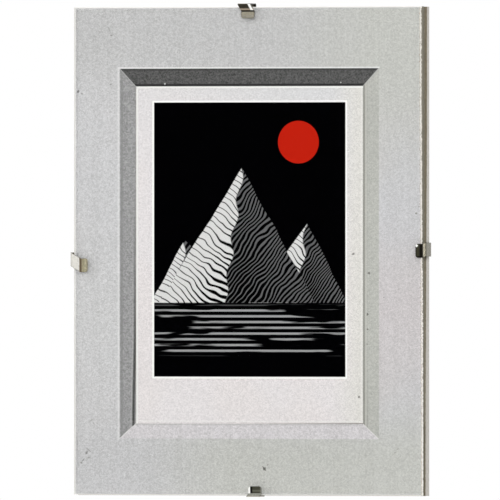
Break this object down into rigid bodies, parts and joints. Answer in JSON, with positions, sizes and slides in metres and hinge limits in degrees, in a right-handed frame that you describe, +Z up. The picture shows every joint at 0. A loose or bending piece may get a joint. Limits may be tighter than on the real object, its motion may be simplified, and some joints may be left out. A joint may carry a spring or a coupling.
{
  "type": "clip frame",
  "caption": "Frameless clip frame: glass pane, card mat and print held on a hardboard back by sprung clips that slide outward off the edges, with sawtooth hangers behind.",
  "frame": {"origin": "where the hanging nail bears for upright hanging: the root of the middle notch of the top hanger, in the plane of the backboard's back face", "axes": "+Z up, +Y from the front to the wall (the glass faces -Y), +X to the right seen from the front"},
  "size_m": [0.1833, 0.0103, 0.2426],
  "materials": {
    "glass": "clear float glass, ground edges",
    "mat": "pale grey printed card, matt",
    "print": "white paper, matt",
    "hardboard": "brown hardboard, pressed fibre, raw sawn edges",
    "clip_steel": "bright nickel-plated spring strip",
    "hanger_steel": "zinc-plated steel strip",
    "rivet_steel": "nickel-plated rivet"
  },
  "bodies": {
    "framed_stack": {"glass_pane": "glass", "mat_card": "mat", "print_sheet": "print", "backboard": "hardboard", "hanger_top": "hanger_steel", "hanger_side": "hanger_steel", "rivet_top_left": "rivet_steel", "rivet_top_right": "rivet_steel", "rivet_side_upper": "rivet_steel", "rivet_side_lower": "rivet_steel"},
    "top_clip": {"clip_top": "clip_steel"},
    "right_clip": {"clip_right": "clip_steel"},
    "bottom_clip": {"clip_bottom": "clip_steel"},
    "left_clip": {"clip_left": "clip_steel"}
  },
  "joints": [
    {"name": "top_clip_slide", "type": "slide", "parent": "framed_stack", "child": "top_clip", "axis": [0, 0, 1], "range_m": [0, 0.00585], "stiffness_N_per_m": 300},
    {"name": "right_clip_slide", "type": "slide", "parent": "framed_stack", "child": "right_clip", "axis": [1, 0, 0], "range_m": [0, 0.0039], "stiffness_N_per_m": 300},
    {"name": "bottom_clip_slide", "type": "slide", "parent": "framed_stack", "child": "bottom_clip", "axis": [0, 0, -1], "range_m": [0, 0.00455], "stiffness_N_per_m": 300},
    {"name": "left_clip_slide", "type": "slide", "parent": "framed_stack", "child": "left_clip", "axis": [-1, 0, 0], "range_m": [0, 0.0075], "stiffness_N_per_m": 300}
  ]
}
